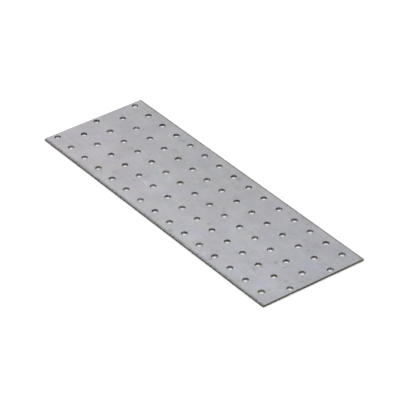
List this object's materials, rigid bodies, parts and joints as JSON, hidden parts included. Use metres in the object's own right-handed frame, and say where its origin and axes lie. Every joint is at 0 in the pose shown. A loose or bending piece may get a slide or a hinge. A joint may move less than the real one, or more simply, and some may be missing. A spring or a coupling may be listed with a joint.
{
  "type": "perforated nail plate",
  "caption": "Flat rectangular galvanised steel nail plate with a staggered field of round nail holes, for joining timbers edge to edge.",
  "frame": {"origin": "middle of the underside, the face that lies on the timber", "axes": "+X along the plate's length, towards the end whose last row has two holes; +Y across its width; +Z out of the upper face"},
  "size_m": [0.3, 0.1, 0.002],
  "materials": {
    "galvanised_steel": "dull hot-dip zinc coating with faint cloudy mottling and handling scuffs; bare dark shear faces at the edges and hole walls"
  },
  "bodies": {
    "root": {"nail_plate": "galvanised_steel"}
  },
  "joints": []
}
